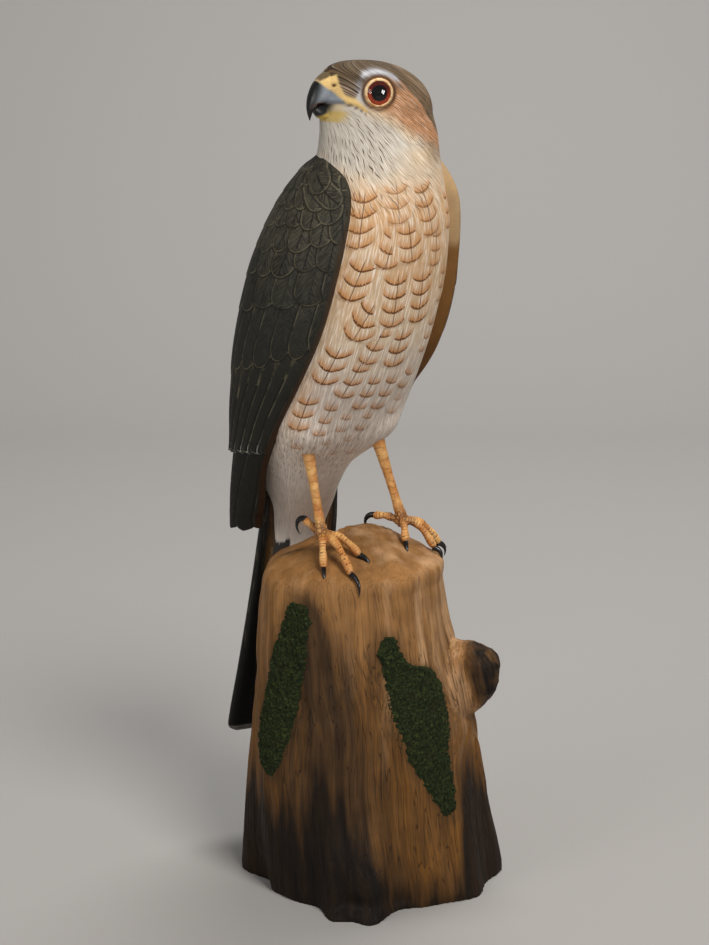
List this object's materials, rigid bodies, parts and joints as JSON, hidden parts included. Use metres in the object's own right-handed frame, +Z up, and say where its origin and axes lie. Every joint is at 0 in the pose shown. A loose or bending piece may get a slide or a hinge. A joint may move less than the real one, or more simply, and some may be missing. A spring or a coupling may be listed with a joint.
{
  "type": "hawk wood carving",
  "caption": "Painted wood carving of a small hawk with glass eyes and cast legs, standing upright on a carved wooden stump.",
  "frame": {"origin": "middle of the stump's flat underside", "axes": "+Z up; -Y is the front, the side that the picture shows; the hawk's breast faces the front and 26 degrees towards +X, and its beak points mostly towards -X"},
  "size_m": [0.1339, 0.1155, 0.3889],
  "materials": {
    "stump_wood": "stained and scorched, matt",
    "moss": "green flock, matt",
    "painted_feathers": "burned feather lines under thin matt paint",
    "eye_glass": "polished, dark red-brown iris and black pupil",
    "painted_legs": "cast metal painted orange-yellow with glossy black claws"
  },
  "bodies": {
    "root": {"stump": "stump_wood", "moss_left": "moss", "moss_right": "moss", "hawk": "painted_feathers", "right_eye": "eye_glass", "left_eye": "eye_glass", "right_leg": "painted_legs", "left_leg": "painted_legs"}
  },
  "joints": []
}
